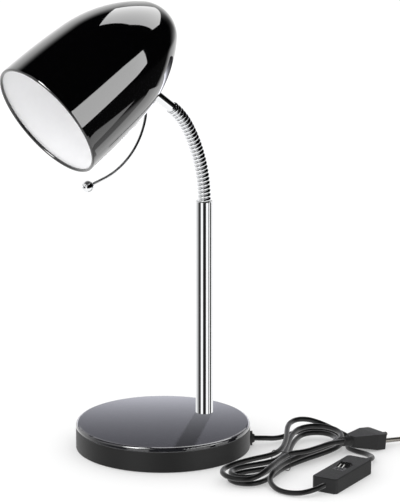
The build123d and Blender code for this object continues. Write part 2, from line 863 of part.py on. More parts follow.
def return_path_point(turn):
    # Climbs outside the loops round the larger lobe's end, lies on top of them, the other way round, and
    # drops beside them round the smaller lobe
    climb = smooth_step((return_start_turn - turn) / return_climb)
    shift = smooth_step((return_start_turn - return_climb - turn) / return_shift)
    drop = smooth_step((return_drop_turn - turn) / return_climb)
    drop *= smooth_step((turn - return_rise_turn) / return_climb)
    inset = return_start_inset + (return_inset - return_start_inset) * shift - return_spread * drop
    top = hank_floor_height + 2 * hank_layer
    height = return_start_height + (top - return_start_height) * climb - return_drop * drop
    return hank_point(turn, inset, height)


def biarc(start, start_dir, end, end_dir):
    # Two arcs, tangent to each other and to the two end directions
    span = end - start
    both = span.dot(start_dir + end_dir)
    bend = 2 * (1 - start_dir.dot(end_dir))
    if bend > 1e-9:
        arm = (sqrt(both ** 2 + bend * span.dot(span)) - both) / bend
    else:
        arm = span.dot(span) / (2 * both)
    first, last = start + start_dir * arm, end - end_dir * arm
    middle = (first + last) * 0.5
    return [TangentArc(start, middle, tangent=start_dir), TangentArc(middle, end, tangent=last - first)]


def wound_path(point_at, first_turn, last_turn):
    count = round(abs(last_turn - first_turn) * nodes_per_turn)
    step = (last_turn - first_turn) / count
    turns = [first_turn + step * k for k in range(count + 1)]
    nodes = [(point_at(t), (point_at(t + step / 100) - point_at(t - step / 100)).normalized()) for t in turns]
    edges = []
    for (start, start_dir), (end, end_dir) in zip(nodes, nodes[1:]):
        edges += biarc(start, start_dir, end, end_dir)
    return nodes, Wire(edges)


def least_self_gap(path, skip):
    # Least clear distance between stretches of the tube that are more than skip apart along it
    count = int(path.length / 2.0)
    spacing = path.length / count
    points = [path.position_at(k / count) for k in range(count + 1)]
    far = int(skip / spacing) + 1
    last = len(points)
    least = min((points[i] - points[j]).length for i in range(last) for j in range(i + far, last))
    return least - cord_diameter


def wound_cord(name, point_at, first_turn, last_turn):
    nodes, path = wound_path(point_at, first_turn, last_turn)
    body = cord_tube(path, cord_diameter)
    share = body.volume / (pi * cord_radius ** 2 * path.length)
    gap = least_self_gap(path, 8 * cord_diameter)
    print(f"{name}: length {path.length:.0f}, volume share {share:.4f}, least gap to itself {gap:.2f}")
    return nodes, body


def make_cords():
    # Each free stretch leaves what holds it straight, along that piece's own direction
    hank_nodes, hank = wound_cord("cord_hank", hank_path_point, hank_start_turn, hank_end_turn)
    return_nodes, return_loop = wound_cord("cord_return_loop", return_path_point,
                                           return_start_turn, return_end_turn)
    switch, plug, grommet = switch_frame(), plug_frame(), grommet_place()
    front = switch.from_local_coords((cord_in_switch - switch_length / 2, 0, switch_split))
    rear = switch.from_local_coords((switch_length / 2 - cord_in_switch, 0, switch_split))
    tail = plug.from_local_coords((cord_in_relief - plug_length - relief_length, 0, 0))
    outlet = cord_tail_route()[0]

    def stretch(name, start, start_dir, route, end, end_dir, start_run=end_run, last_run=end_run):
        points = [start, start + start_dir * start_run, *route, end - end_dir * last_run, end]
        return free_cord(name, points)

    switch_run = end_run + cord_in_switch
    return {
        "cord_hank": hank,
        "cord_return_loop": return_loop,
        "cord_lead": stretch("cord_lead", outlet, grommet.z_dir, lead_route, *hank_nodes[0]),
        "cord_front_run": stretch("cord_front_run", *hank_nodes[-1], front_route, front, switch.x_dir,
                                  last_run=switch_run),
        "cord_rear_run": stretch("cord_rear_run", rear, switch.x_dir, rear_route, *return_nodes[0],
                                 start_run=switch_run),
        "cord_plug_run": stretch("cord_plug_run", *return_nodes[-1], plug_route, tail, plug.x_dir),
        "cord_tail": free_cord("cord_tail", cord_tail_route()),
    }


def make_tie():
    # One turn of coated wire round the waist of the hank
    heading = Vector(*polar(1.0, hank_heading), 0)
    across = Vector(heading.Y, -heading.X, 0)
    middle = Vector(*hank_tie, table + tie_height / 2 + tie_wire_diameter / 2) + across * tie_shift
    place = Plane(origin=middle, x_dir=across, z_dir=heading)
    ring = place * RectangleRounded(tie_width, tie_height, tie_corner)
    return cord_tube(ring.wire(), tie_wire_diameter)


# Switch
def switch_frame():
    return Plane(origin=(*switch_place, table), x_dir=(*polar(1.0, switch_heading), 0), z_dir=(0, 0, 1))


def switch_block(inset, low, high):
    corner = max(switch_corner - inset, 0.5)
    outline = RectangleRounded(switch_length - 2 * inset, switch_width - 2 * inset, corner)
    return Pos(0, 0, low) * extrude(outline, high - low)


def switch_screw_places():
    x, y = switch_screw_station
    return [Pos(x, -y), Pos(-x, y)]


def cord_holes():
    hole = Rot(0, 90, 0) * Cylinder(cord_radius + seat, switch_length * 2)
    return Pos(0, 0, switch_split) * hole & slab(switch_length * 2, switch_width, 0.0, switch_height)


def make_switch_lower():
    body = switch_block(0.0, 0.0, switch_split)
    body = fillet(body.edges().group_by(Axis.Z)[0], switch_edge)
    body -= switch_block(switch_wall, switch_wall, switch_split)
    for place in switch_screw_places():
        body += place * rod(switch_boss_radius, switch_wall, switch_split)
        body -= place * rod(switch_screw_diameter / 2 + slip, 0.0, switch_split)
        body -= place * rod(switch_screw_head / 2 + slip, 0.0, switch_screw_head_height + 0.4)
    return switch_frame() * (body - cord_holes())


def make_switch_upper():
    body = switch_block(0.0, switch_split, switch_height)
    body = fillet(body.edges().group_by(Axis.Z)[-1], switch_edge)
    body -= switch_block(switch_wall, switch_split, switch_height - switch_wall)
    for place in switch_screw_places():
        body += place * rod(switch_boss_radius, switch_split, switch_height - switch_wall)
        body -= place * rod(switch_screw_diameter / 2 + seat, switch_split, switch_height - switch_wall)
    for side in (-1, 1):
        middle = side * (rocker_width / 2 + slip + bearing_width / 2)
        bearing = slab(bearing_length, bearing_width, switch_split + 1.0, switch_height - switch_wall / 2)
        body += Pos(0, middle) * bearing
    body -= slab(rocker_length + 2 * slip, rocker_width + 2 * slip, switch_split, switch_height)
    pivot = Pos(0, 0, rocker_pivot_height) * Rot(90, 0, 0)
    body -= pivot * Cylinder(rocker_pin_radius + seat, rocker_width + 2 * (slip + rocker_pin_length + seat))
    return switch_frame() * (body - cord_holes())


def make_rocker():
    # Two faces in a shallow V, tilted so that the pressed half lies level with the switch
    half = rocker_length / 2
    rise = half * tan(radians(rocker_throw / 2))
    outline = Polyline((-half, switch_height + rise), (0, switch_height), (half, switch_height + rise),
                       (half, rocker_floor + 2.0), (half / 2, rocker_floor), (-half / 2, rocker_floor),
                       (-half, rocker_floor + 2.0), close=True)
    body = extrude(Plane.XZ * make_face(outline), rocker_width / 2, both=True)
    pivot = Pos(0, 0, rocker_pivot_height) * Rot(90, 0, 0)
    body &= pivot * Cylinder(half, rocker_width)
    body += pivot * Cylinder(rocker_pin_radius, rocker_width + 2 * (slip + rocker_pin_length))
    slope = Pos(0, 0, switch_height) * Rot(0, rocker_throw / 2, 0)
    for station in rocker_rib_stations:
        rib = slab(rocker_rib_width, rocker_width * 0.7, -rocker_rib_height, rocker_rib_height)
        body += slope * Pos(station, 0) * rib
    turn = Pos(0, 0, rocker_pivot_height) * Rot(0, -rocker_throw / 2, 0) * Pos(0, 0, -rocker_pivot_height)
    return switch_frame() * (turn * body)


def make_switch_contacts():
    strip = slab(*contact_strip[:2], switch_wall, switch_wall + contact_strip[2])
    post = slab(contact_strip[2], contact_strip[1], switch_wall, switch_split - cord_radius - slip)
    places = [Pos(side * contact_strip_station, 0) for side in (-1, 1)]
    return Compound([switch_frame() * place * (strip + post) for place in places])


def make_switch_screws():
    seat_height = switch_screw_head_height + 0.4
    screw = rod(switch_screw_head / 2, 0.4, seat_height)
    screw += rod(switch_screw_diameter / 2, seat_height, switch_height - switch_wall - 1.0)
    return Compound([switch_frame() * place * screw for place in switch_screw_places()])


# Plug
def plug_frame():
    height = table + plug_thickness / 2 * cos(radians(plug_pitch))
    turned = Pos(*plug_face, height) * Rot(0, 0, plug_heading) * Rot(0, plug_pitch, 0)
    return Plane(turned)


def make_plug_body():
    half, tail = plug_face_width / 2, plug_tail_width / 2
    plan = Polyline((0, -half), (0, half), (-plug_shoulder, half), (-plug_length, tail),
                    (-plug_length, -tail), (-plug_shoulder, -half), close=True)
    plan = fillet(make_face(plan).vertices(), plug_corner)
    high, low = plug_thickness / 2, plug_tail_thickness / 2
    side = Polyline((0, -high), (0, high), (-plug_shoulder, high), (-plug_length, low), (-plug_length, -low),
                    (-plug_shoulder, -high), close=True)
    body = extrude(plan, plug_thickness, both=True)
    body &= extrude(Plane.XZ * make_face(side), plug_face_width, both=True)
    for place in pin_places():
        body -= place * rod(pin_diameter / 2 + seat, -pin_root, 1.0)
    return plug_frame() * body


def pin_places():
    return [Pos(0, side * pin_spacing / 2) * Rot(0, 90, 0) for side in (-1, 1)]


def make_plug_pins():
    pin = rod(pin_diameter / 2, -pin_root, pin_length)
    pin = fillet(pin.edges().group_by(Axis.Z)[-1], pin_diameter * 0.4)
    return Compound([plug_frame() * place * pin for place in pin_places()])


def make_plug_relief():
    cone = Pos(0, 0, relief_length / 2) * Cone(relief_root_radius, relief_tip_radius, relief_length)
    pitch = relief_length / relief_ribs
    for k in range(relief_ribs - 1):
        low = pitch * (k + 0.7)
        waist = relief_tip_radius + (relief_root_radius - relief_tip_radius) * 0.1
        cone -= tube(relief_root_radius * 1.2, waist, low, low + pitch * 0.45)
    cone -= rod(cord_radius + seat, relief_length - cord_in_relief, relief_length)
    return plug_frame() * Pos(-plug_length, 0, 0) * Rot(0, -90, 0) * cone


screw_seat = foot_proud + base_screw_head_height + base_screw_sink
clamp_floor = cord_exit_height - floor_top
saddle_top = shade_sheet + saddle_thickness
bracket_rear = neck_station + bracket_reach + bracket_thickness
holder_back = bracket_rear - bracket_thickness
core_low = holder_back - holder_cap_length - holder_core_thickness - seat

parts["base_housing"] = make_housing()
parts["base_feet"] = Compound([place * make_foot() for place in foot_places()])
parts["base_screws"] = Compound([place * base_screw() for place in base_screw_places()])
parts["ballast_weight"] = make_ballast()
parts["base_cover"] = make_cover()
parts["pole_tube"] = make_pole()
parts["pole_stud"] = make_stud()
parts["pole_washer"] = make_pole_washer()
parts["pole_nut"] = make_pole_nut()
parts["neck_bush"] = make_neck_bush()
for index in range(neck_segments):
    parts[f"neck_segment_{index + 1}"] = make_neck_segment(index)
parts["neck_sleeve"] = make_sleeve()
parts["shade"] = make_shade()
parts["neck_saddle"] = make_saddle()
parts["holder_bracket"] = make_bracket()
parts["neck_washer"] = make_neck_washer()
parts["neck_nut"] = make_neck_nut()
parts["holder_cap"] = make_holder_cap()
parts["holder_body"] = make_holder_body()
parts["holder_thread_shell"] = make_thread_shell()
parts["holder_core"] = make_holder_core()
parts["holder_contact"] = make_holder_contact()
parts["holder_nipple"] = make_nipple()
parts["holder_nipple_nut"] = make_nipple_nut()
parts["holder_leads"] = make_holder_leads()
parts["handle_wire"] = make_handle_wire()
parts["handle_ball"] = make_handle_ball()
parts["handle_nut"] = make_handle_nut()
parts["pole_leads"] = make_pole_leads()
parts["terminal_block"] = make_terminal_block()
parts["cord_grommet"] = make_grommet()
parts["cord_clamp"] = make_clamp()
parts["cord_clamp_screws"] = make_clamp_screws()
parts["cord_tie"] = make_tie()
parts["switch_lower"] = make_switch_lower()
parts["switch_upper"] = make_switch_upper()
parts["switch_rocker"] = make_rocker()
parts["switch_contacts"] = make_switch_contacts()
parts["switch_screws"] = make_switch_screws()
parts["plug_body"] = make_plug_body()
parts["plug_pins"] = make_plug_pins()
parts["plug_relief"] = make_plug_relief()
parts.update(make_cords())

os.makedirs("parts", exist_ok=True)
for name, body in parts.items():
    export_step(body, f"parts/{name}.step")
print(f"{len(parts)} parts")
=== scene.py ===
import json
from math import asin, atan2, cos, hypot, pi, radians, sin, sqrt

import bpy
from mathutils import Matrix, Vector

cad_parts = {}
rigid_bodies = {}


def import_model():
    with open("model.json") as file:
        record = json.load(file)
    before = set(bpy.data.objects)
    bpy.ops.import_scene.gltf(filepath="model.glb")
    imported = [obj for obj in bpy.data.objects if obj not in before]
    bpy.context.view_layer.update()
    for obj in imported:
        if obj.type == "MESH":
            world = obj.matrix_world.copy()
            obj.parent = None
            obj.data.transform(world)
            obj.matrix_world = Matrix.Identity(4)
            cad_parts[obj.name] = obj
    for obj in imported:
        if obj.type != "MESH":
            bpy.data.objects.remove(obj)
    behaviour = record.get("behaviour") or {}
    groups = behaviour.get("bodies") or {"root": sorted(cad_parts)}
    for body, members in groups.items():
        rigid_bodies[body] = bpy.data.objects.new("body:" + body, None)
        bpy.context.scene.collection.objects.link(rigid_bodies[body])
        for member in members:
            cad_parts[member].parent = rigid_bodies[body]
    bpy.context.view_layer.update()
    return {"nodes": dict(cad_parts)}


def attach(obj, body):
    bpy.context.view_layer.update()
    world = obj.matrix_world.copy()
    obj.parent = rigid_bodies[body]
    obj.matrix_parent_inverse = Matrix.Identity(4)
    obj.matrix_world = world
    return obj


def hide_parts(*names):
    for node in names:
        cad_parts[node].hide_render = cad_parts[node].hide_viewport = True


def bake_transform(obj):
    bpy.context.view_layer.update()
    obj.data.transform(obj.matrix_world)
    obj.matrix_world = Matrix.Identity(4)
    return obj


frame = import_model()
nodes = frame["nodes"]
mm = 0.001
scene = bpy.context.scene
scene.view_settings.view_transform = "Standard"


# Shared helpers
def linear(hexColour):
    parts = [int(hexColour[k:k + 2], 16) / 255 for k in (1, 3, 5)]
    parts = [p / 12.92 if p <= 0.04045 else ((p + 0.055) / 1.055) ** 2.4 for p in parts]
    return (*parts, 1.0)


def addNode(tree, kind, inputs=None, **settings):
    node = tree.nodes.new(kind)
    for name, value in settings.items():
        setattr(node, name, value)
    for name, value in (inputs or {}).items():
        if isinstance(value, bpy.types.NodeSocket):
            tree.links.new(value, node.inputs[name])
        else:
            node.inputs[name].default_value = value
    return node


def addObject(name, data):
    obj = bpy.data.objects.new(name, data)
    scene.collection.objects.link(obj)
    return obj


def meshObject(name, points, faces, materials, faceSlots=None):
    mesh = bpy.data.meshes.new(name)
    mesh.from_pydata([Vector(p) * mm for p in points], [], faces)
    for material in materials:
        mesh.materials.append(material)
    for face in mesh.polygons:
        face.use_smooth = True
    if faceSlots:
        mesh.polygons.foreach_set("material_index", faceSlots)
    mesh.update()
    return addObject(name, mesh)


def polar(radius, angle):
    return radius * cos(radians(angle)), radius * sin(radians(angle))


def smoothStep(value):
    value = min(max(value, 0.0), 1.0)
    return value * value * (3 - 2 * value)


# Camera: the photograph's own viewpoint, a long lens three metres off
cameraSettings = {"azimuth": 53.1, "elevation": 14.92, "distance": 3000.0, "right": 31.84, "up": 167.6,
                  "lens": 248.8, "sensor": 36.0, "clip": (0.05, 60.0)}


def viewAxes():
    turn, lift = radians(cameraSettings["azimuth"]), radians(cameraSettings["elevation"])
    right = Vector((cos(turn), sin(turn), 0))
    back = Vector((sin(turn) * cos(lift), -cos(turn) * cos(lift), sin(lift)))
    return right, back, back.cross(right)


def levelAxes():
    right, back, _ = viewAxes()
    return right, Vector((back.x, back.y, 0)).normalized()


def makeCamera():
    right, back, up = viewAxes()
    data = bpy.data.cameras.new("camera")
    data.lens, data.sensor_width = cameraSettings["lens"], cameraSettings["sensor"]
    data.clip_start, data.clip_end = cameraSettings["clip"]
    camera = addObject("camera", data)
    place = right * cameraSettings["right"] + up * cameraSettings["up"] + back * cameraSettings["distance"]
    camera.location = place * mm
    camera.rotation_mode = "QUATERNION"
    camera.rotation_quaternion = (-back).to_track_quat("-Z", "Y")
    scene.camera = camera


makeCamera()
print("camera set")


# Materials
switchSettings = {"place": (168.2, 62.1), "heading": 112.9, "length": 65.0, "cordHeight": 6.4}
# The rocker's rib colour is a painted highlight standing for the glints on its grip ribs
rockerSettings = {"ribs": (-3.2, 0.3), "ribMiddle": 0.6, "ribLength": 6.0, "ribWidth": 0.9,
                  "ribHighlightColour": "#c9c9c6"}


def startMaterial(name, **sockets):
    material = bpy.data.materials.new(name)
    material.use_nodes = True
    tree = material.node_tree
    shader = tree.nodes["Principled BSDF"]
    for socket, value in sockets.items():
        shader.inputs[socket.replace("_", " ")].default_value = value
    return material, tree, shader


def addGrain(tree, shader, size, depth, rough, detail=3.0):
    # Uneven surface: bump and roughness from one noise, with its grain size and depth in millimetres.
    # The noise keeps mostly between 0.3 and 0.7
    place = addNode(tree, "ShaderNodeTexCoord")
    noise = addNode(tree, "ShaderNodeTexNoise", {
        "Vector": place.outputs["Object"], "Scale": 1 / (size * mm), "Detail": detail})
    bump = addNode(tree, "ShaderNodeBump", {
        "Height": noise.outputs["Fac"], "Strength": 1.0, "Distance": depth * mm})
    span = addNode(tree, "ShaderNodeMapRange", {
        "Value": noise.outputs["Fac"], "From Min": 0.3, "From Max": 0.7,
        "To Min": rough[0], "To Max": rough[1]})
    tree.links.new(bump.outputs["Normal"], shader.inputs["Normal"])
    tree.links.new(span.outputs["Result"], shader.inputs["Roughness"])
    return noise


def addTint(tree, shader, noise, dark, light):
    mix = addNode(tree, "ShaderNodeMix", {0: noise.outputs["Fac"], 6: linear(dark), 7: linear(light)},
                  data_type="RGBA")
    tree.links.new(mix.outputs[2], shader.inputs["Base Color"])
    return mix


def stovedEnamel(name, dark, light):
    # Sprayed and baked on steel under clear lacquer: near black, mirror gloss, a trace of orange peel
    material, tree, shader = startMaterial(name, IOR=1.52, Coat_Weight=1.0, Coat_Roughness=0.03, Coat_IOR=1.5)
    noise = addGrain(tree, shader, 3.0, 0.0012, (0.035, 0.06), 1.0)
    addTint(tree, shader, noise, dark, light)
    return material


def bakedWhiteEnamel():
    # The reflector side of the shade: white, semi matt, faintly uneven
    material, tree, shader = startMaterial("bakedWhiteEnamel", IOR=1.5)
    noise = addGrain(tree, shader, 4.0, 0.004, (0.38, 0.5), 2.0)
    addTint(tree, shader, noise, "#f6f6f7", "#fafafb")
    return material


def mouldedSatinBlack():
    # Injection moulded band of the base: fine spark grain, dark grey sheen
    material, tree, shader = startMaterial("mouldedSatinBlack", IOR=1.46)
    noise = addGrain(tree, shader, 0.8, 0.01, (0.42, 0.55))
    addTint(tree, shader, noise, "#101010", "#161616")
    return material


def mouldedMattBlack():
    # Switch and plug mouldings: spark grain, drawn a little coarse so that it shows
    material, tree, shader = startMaterial("mouldedMattBlack", IOR=1.46)
    noise = addGrain(tree, shader, 0.7, 0.02, (0.48, 0.62))
    addTint(tree, shader, noise, "#161617", "#1c1c1d")
    return material


def extrudedPvc():
    # Cord jacket: near black, soft sheen with slow waves from the extruder
    material, tree, shader = startMaterial("extrudedPvc", IOR=1.5)
    noise = addGrain(tree, shader, 2.2, 0.02, (0.3, 0.42))
    addTint(tree, shader, noise, "#050505", "#0a0a0b")
    return material


def brightChrome():
    # Decorative chrome over polished steel, with hardly visible polishing marks
    material, tree, shader = startMaterial("brightChrome", Metallic=1.0)
    noise = addGrain(tree, shader, 6.0, 0.0006, (0.02, 0.045), 2.0)
    addTint(tree, shader, noise, "#e9eaec", "#f1f2f3")
    return material


def zincPlate():
    # Passivated zinc on pressed steel: dull silver with mottling
    material, tree, shader = startMaterial("zincPlate", Metallic=1.0)
    noise = addGrain(tree, shader, 1.5, 0.01, (0.28, 0.42))
    addTint(tree, shader, noise, "#b4b6b5", "#c8c9c6")
    return material


def nickelPin():
    # Turned and nickel plated plug pins: fine lathe sheen
    material, tree, shader = startMaterial("nickelPin", Metallic=1.0)
    noise = addGrain(tree, shader, 0.6, 0.004, (0.16, 0.28))
    addTint(tree, shader, noise, "#8d8983", "#a5a19a")
    return material


def spunBrass():
    # Thread shell and contacts: plain brass, lightly tarnished
    material, tree, shader = startMaterial("spunBrass", Metallic=1.0)
    noise = addGrain(tree, shader, 2.0, 0.006, (0.25, 0.4))
    addTint(tree, shader, noise, "#b8934a", "#d0ab60")
    return material


def sandCastIron():
    # Ballast: grey iron with sand grain
    material, tree, shader = startMaterial("sandCastIron", Metallic=0.9)
    noise = addGrain(tree, shader, 1.2, 0.12, (0.6, 0.8), 5.0)
    addTint(tree, shader, noise, "#454341", "#5a5754")
    return material


def mouldedRubber():
    # Feet and grommet: dull black rubber
    material, tree, shader = startMaterial("mouldedRubber", IOR=1.52)
    noise = addGrain(tree, shader, 0.9, 0.02, (0.6, 0.75))
    addTint(tree, shader, noise, "#1b1b1b", "#242424")
    return material


def whiteSteatite():
    # Insulators: fired, slightly creamy, smooth
    material, tree, shader = startMaterial("whiteSteatite", IOR=1.6)
    noise = addGrain(tree, shader, 1.0, 0.01, (0.35, 0.5))
    addTint(tree, shader, noise, "#e3dfd5", "#eeebe3")
    return material


def mouldedGlossBlackRibHighlights():
    # Rocker: polished mould, deeper black than the case, with a painted highlight: its two grip ribs are
    # coloured pale grey for their glints
    r, s = rockerSettings, switchSettings
    material, tree, shader = startMaterial("mouldedGlossBlackRibHighlights", IOR=1.49)
    noise = addGrain(tree, shader, 1.0, 0.004, (0.22, 0.32))
    tint = addTint(tree, shader, noise, "#060606", "#0b0b0c")
    heading = Vector((*polar(1.0, s["heading"]), 0))
    across = Vector((heading.y, -heading.x, 0))
    place = addNode(tree, "ShaderNodeTexCoord")

    def band(direction, station, width):
        middle = Vector((*s["place"], 0)).dot(direction) + station
        reach = addNode(tree, "ShaderNodeVectorMath", {0: place.outputs["Object"], 1: direction},
                        operation="DOT_PRODUCT")
        return addNode(tree, "ShaderNodeMath", {0: reach.outputs["Value"], 1: middle * mm, 2: width / 2 * mm},
                       operation="COMPARE").outputs[0]

    colour = tint.outputs[2]
    length = band(heading, r["ribMiddle"], r["ribLength"])
    # Painted highlight: the rib areas are coloured pale grey where they would glint
    for station in r["ribs"]:
        rib = addNode(tree, "ShaderNodeMath", {0: band(across, station, r["ribWidth"]), 1: length},
                      operation="MULTIPLY")
        colour = addNode(tree, "ShaderNodeMix", {0: rib.outputs[0], 6: colour, 7: linear(r["ribHighlightColour"])},
                         data_type="RGBA").outputs[2]
    tree.links.new(colour, shader.inputs["Base Color"])
    return material


def wireJacket():
    # Single cores: grey brown insulation
    material, tree, shader = startMaterial("wireJacket", IOR=1.5)
    noise = addGrain(tree, shader, 1.0, 0.01, (0.4, 0.55))
    addTint(tree, shader, noise, "#5c4a3c", "#6a5748")
    return material


enamel = stovedEnamel("stovedBlackEnamel", "#010101", "#030304")
coverEnamel = stovedEnamel("stovedCoverEnamel", "#1a1a1d", "#1e1e21")  # greyer, so a shadow shows on it
reflectorWhite, chrome = bakedWhiteEnamel(), brightChrome()
satinBlack, mattBlack, pvc = mouldedSatinBlack(), mouldedMattBlack(), extrudedPvc()
zinc, nickel, brass, iron = zincPlate(), nickelPin(), spunBrass(), sandCastIron()
rubber, steatite, glossBlack, jacket = mouldedRubber(), whiteSteatite(), mouldedGlossBlackRibHighlights(), wireJacket()

finishOf = {
    satinBlack: ["base_housing"],
    coverEnamel: ["base_cover"],
    enamel: ["shade"],
    chrome: ["pole_tube", "neck_sleeve", "handle_wire", "handle_ball",
             *(f"neck_segment_{k}" for k in range(1, 10))],
    glossBlack: ["switch_rocker"],
    mattBlack: ["switch_lower", "switch_upper", "plug_body", "plug_relief", "cord_clamp", "holder_cap",
                "holder_body"],
    pvc: ["cord_hank", "cord_return_loop", "cord_lead", "cord_front_run", "cord_rear_run", "cord_plug_run",
          "cord_tail", "cord_tie"],
    rubber: ["base_feet", "cord_grommet"],
    nickel: ["plug_pins"],
    brass: ["holder_thread_shell", "holder_contact", "switch_contacts"],
    steatite: ["holder_core", "terminal_block"],
    iron: ["ballast_weight"],
    jacket: ["holder_leads", "pole_leads"],
    zinc: ["base_screws", "pole_stud", "pole_washer", "pole_nut", "neck_bush", "neck_saddle",
           "holder_bracket", "neck_washer", "neck_nut", "holder_nipple", "holder_nipple_nut", "handle_nut",
           "cord_clamp_screws", "switch_screws"],
}


def finishNodes():
    for material, names in finishOf.items():
        for name in names:
            nodes[name].data.materials.clear()
            nodes[name].data.materials.append(material)


finishNodes()
# The lacquer shows the pole's shadow, not its mirror image, and the chrome shows the studio, not the base
for name, node in nodes.items():
    if not name.startswith(("neck", "shade", "holder", "handle")):
        node.visible_glossy = False
print("finishes on the carried-over pieces")


# Cord: from the base through the hank to the switch, and from the switch over the hank to the plug
cordSettings = {
    "diameter": 4.4, "endRun": 9.0, "inSwitch": 4.0, "inRelief": 3.0, "nodesPerTurn": 40,
    "bevelSteps": 8, "curveSteps": 10,
    "exitAngle": 53.0, "exitReach": 79.0, "exitHeight": 7.0,
    "leadRoute": [(53.6, 80.6, 4.8), (53.2, 91.4, 4.4)],
    "frontRoute": [(138.6, 8.2, 4.8), (148.4, 3.6, 3.2), (159.4, 1.8, 2.4), (170.2, 4.6, 2.5),
                   (179.4, 11.4, 3.6)],
    "rearRoute": [(147.0, 112.6, 5.0), (138.4, 119.0, 3.2), (127.2, 121.4, 2.4), (115.4, 118.6, 2.3),
                  (103.4, 119.6, 2.3), (98.0, 128.2, 3.8)],
    "plugRoute": [(118.4, 62.0, 13.4), (117.0, 78.8, 13.8), (114.2, 93.4, 13.8)],
    "lengthToSwitch": 960.0, "lengthToPlug": 455.0,
}
hankSettings = {
    "tie": (111.0, 41.2), "heading": 108.6, "bend": 20.0, "bendLength": 24.0,
    "right": 92.0, "rightHalf": 22.5, "left": 61.0, "leftHalf": 18.0, "waist": 7.2,
    "endShare": 0.2, "flankShare": 0.3,  # of one turn, for each end and each flank
    "lobeLift": 3.0, "lobeShift": 3.0, "lobeRise": 2.5,
    "startTurn": 0.06, "endTurn": 2.44, "climb": 0.5, "step": 5.6, "floorHeight": 3.0, "layer": 5.0,
    "returnStart": 0.13, "returnEnd": -0.611, "returnClimb": 0.10, "returnShift": 0.12,
    "returnStartInset": -5.2, "returnInset": 1.6, "returnHeight": 3.0,
    "returnDropTurn": -0.22, "returnRiseTurn": -0.54, "returnDrop": 4.4, "returnSpread": 4.4,
}
plugSettings = {"face": (110.5, 148.5), "heading": 92.0, "pitch": 7.0, "length": 32.0, "relief": 8.0,
                "thickness": 13.6}


def hankOutline(turn, inset):
    # Along and across one loop: round ends, and flanks drawn in towards the tie
    h = hankSettings
    ahead, behind = h["right"] - h["rightHalf"], h["left"] - h["leftHalf"]
    end, side = h["endShare"], h["flankShare"]
    share = turn % 1.0

    def flank(along):
        reach, half = (ahead, h["rightHalf"]) if along > 0 else (behind, h["leftHalf"])
        return h["waist"] + (half - h["waist"]) * (1 - cos(pi * along / reach)) / 2 - inset

    if share < end:
        angle = pi * (share / end - 0.5)
        radius = h["rightHalf"] - inset
        return ahead + radius * cos(angle), radius * sin(angle)
    if share < end + side:
        along = ahead - (ahead + behind) * (share - end) / side
        return along, flank(along)
    if share < 2 * end + side:
        angle = pi * ((share - end - side) / end - 0.5)
        radius = h["leftHalf"] - inset
        return -behind - radius * cos(angle), -radius * sin(angle)
    along = (ahead + behind) * (share - 2 * end - side) / side - behind
    return along, -flank(along)


def hankPoint(turn, inset, height):
    # The middle line bends at the tie; the larger lobe leans aside and its far flank is raised
    h = hankSettings
    along, across = hankOutline(turn, inset)
    spread = smoothStep(along / (h["right"] - h["rightHalf"]))
    lift = h["lobeLift"] * max(0.0, along / h["right"]) ** 2
    lift += h["lobeRise"] * spread * (0.5 - across / (2 * h["rightHalf"]))
    across += h["lobeShift"] * spread
    bend = radians(h["bend"]) / 2
    held = min(max(along, -h["bendLength"]), h["bendLength"])
    angle = bend * held / h["bendLength"]
    radius = h["bendLength"] / bend
    x = radius * sin(angle) + (along - held) * cos(angle) + across * sin(angle)
    y = radius * (1 - cos(angle)) + (along - held) * sin(angle) - across * cos(angle)
    ex, ey = polar(1.0, h["heading"])
    return Vector((h["tie"][0] + x * ex - y * ey, h["tie"][1] + x * ey + y * ex, height + lift))


def hankPath(turn):
    # Spirals in on the lower layer, climbs about the middle, and spirals out on the upper one
    h = hankSettings
    middle = (h["startTurn"] + h["endTurn"]) / 2
    inset = h["step"] * (middle - h["startTurn"] - abs(turn - middle))
    climb = smoothStep((turn - middle) / h["climb"] + 0.5)
    return hankPoint(turn, inset, h["floorHeight"] + h["layer"] * climb)


def returnPath(turn):
    # Climbs outside the loops round the larger lobe's end, lies on top of them, the other way round, and
    # drops beside them round the smaller lobe
    h = hankSettings
    climb = smoothStep((h["returnStart"] - turn) / h["returnClimb"])
    shift = smoothStep((h["returnStart"] - h["returnClimb"] - turn) / h["returnShift"])
    drop = smoothStep((h["returnDropTurn"] - turn) / h["returnClimb"])
    drop *= smoothStep((turn - h["returnRiseTurn"]) / h["returnClimb"])
    inset = h["returnStartInset"] + (h["returnInset"] - h["returnStartInset"]) * shift
    top = h["floorHeight"] + 2 * h["layer"]
    height = h["returnHeight"] + (top - h["returnHeight"]) * climb
    return hankPoint(turn, inset - h["returnSpread"] * drop, height - h["returnDrop"] * drop)


def woundPoints(path, first, last):
    count = round(abs(last - first) * cordSettings["nodesPerTurn"])
    return [path(first + (last - first) * k / count) for k in range(count + 1)]


def along(start, end):
    return (end - start).normalized() * cordSettings["endRun"]


def switchEnd(side):
    heading = Vector((*polar(1.0, switchSettings["heading"]), 0))
    middle = Vector((*switchSettings["place"], switchSettings["cordHeight"]))
    reach = switchSettings["length"] / 2
    inner, outer = reach - cordSettings["inSwitch"], reach + cordSettings["endRun"]
    return middle + heading * side * inner, middle + heading * side * outer


def plugTail():
    p = plugSettings
    turn, pitch = radians(p["heading"]), radians(p["pitch"])
    ahead = Vector((cos(turn) * cos(pitch), sin(turn) * cos(pitch), -sin(pitch)))
    face = Vector((*p["face"], p["thickness"] / 2 * cos(pitch)))
    tail = face - ahead * (p["length"] + p["relief"] - cordSettings["inRelief"])
    return tail, tail - ahead * cordSettings["endRun"]


